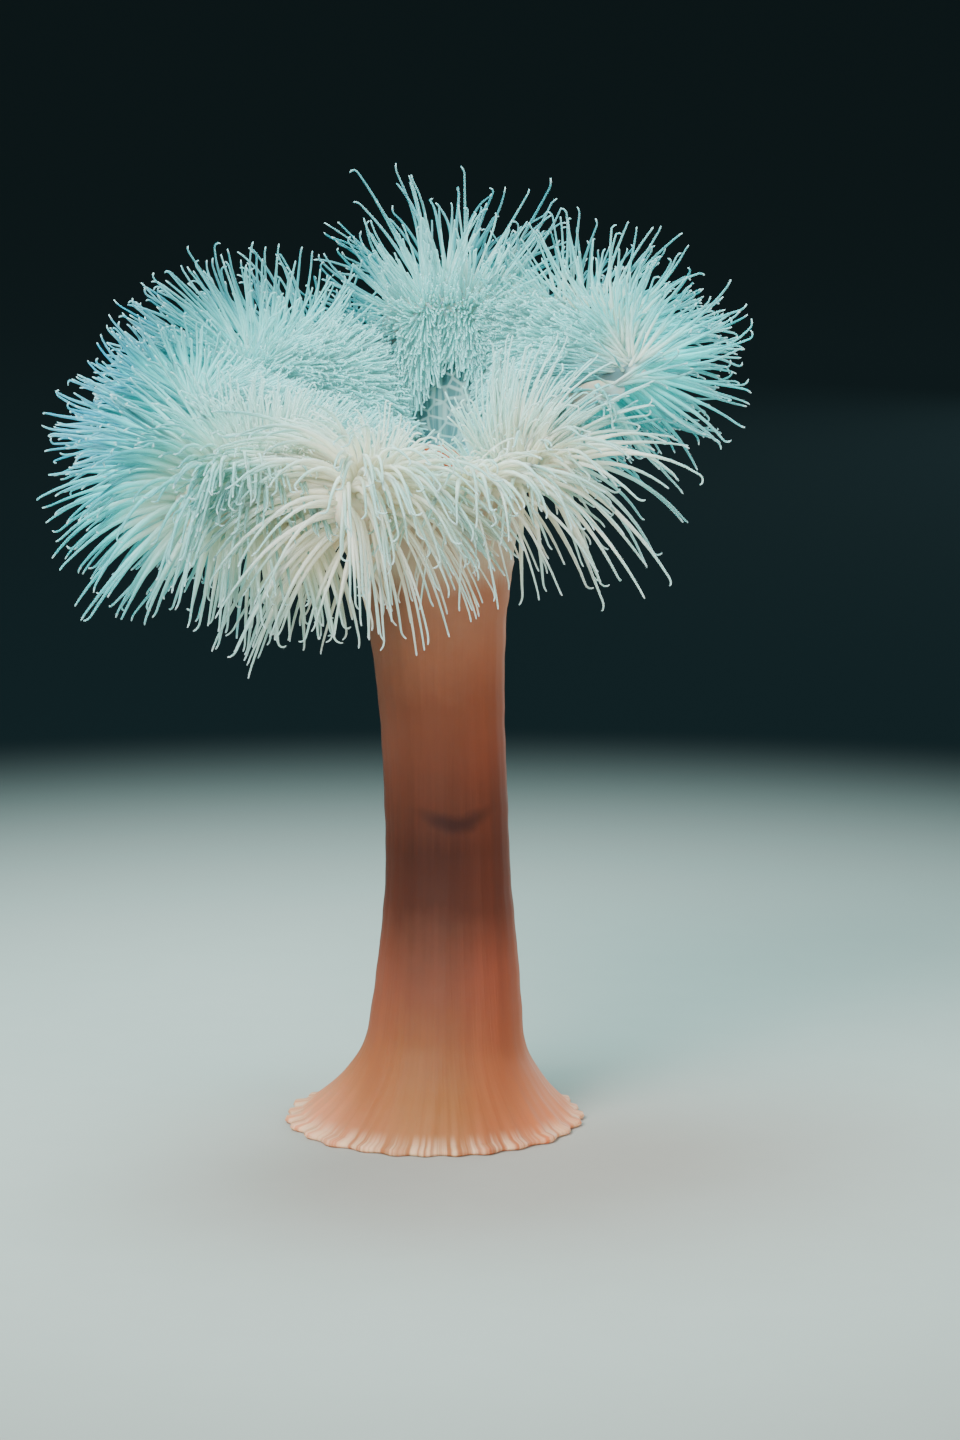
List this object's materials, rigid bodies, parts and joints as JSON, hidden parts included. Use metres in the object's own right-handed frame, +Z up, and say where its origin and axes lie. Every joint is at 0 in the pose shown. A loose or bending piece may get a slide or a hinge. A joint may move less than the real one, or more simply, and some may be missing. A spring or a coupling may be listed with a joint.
{
  "type": "sea anemone",
  "caption": "Plumose sea anemone at life size: a fleshy column on a wide scalloped foot, with a collar and a deeply lobed disc thick with fine feelers.",
  "frame": {"origin": "middle of the flat underside of the foot", "axes": "+Z up the column, +X to the animal's right as the camera sees it, -Y towards the camera, the side that the disc leans to"},
  "size_m": [0.1175, 0.1085, 0.1591],
  "materials": {
    "foot_flesh": "wet, pale salmon",
    "column_flesh": "wet, orange",
    "dark_flesh": "wet, red-brown",
    "disc_flesh": "wet, blue-grey",
    "lip_flesh": "wet, orange",
    "feeler_flesh": "wet, translucent white"
  },
  "bodies": {
    "root": {"pedal_disc": "foot_flesh", "column_flare": "foot_flesh", "column_lower": "column_flesh", "column_middle": "dark_flesh", "column_upper": "column_flesh", "collar": "column_flesh", "capitulum": "column_flesh", "oral_disc": "disc_flesh", "mouth": "lip_flesh", "lobe_right": "feeler_flesh", "lobe_back_right": "feeler_flesh", "lobe_back": "feeler_flesh", "lobe_left_back": "feeler_flesh", "lobe_left": "feeler_flesh", "lobe_front_left": "feeler_flesh", "lobe_front": "feeler_flesh", "lobe_front_right": "feeler_flesh", "lobe_left_front": "feeler_flesh"}
  },
  "joints": []
}
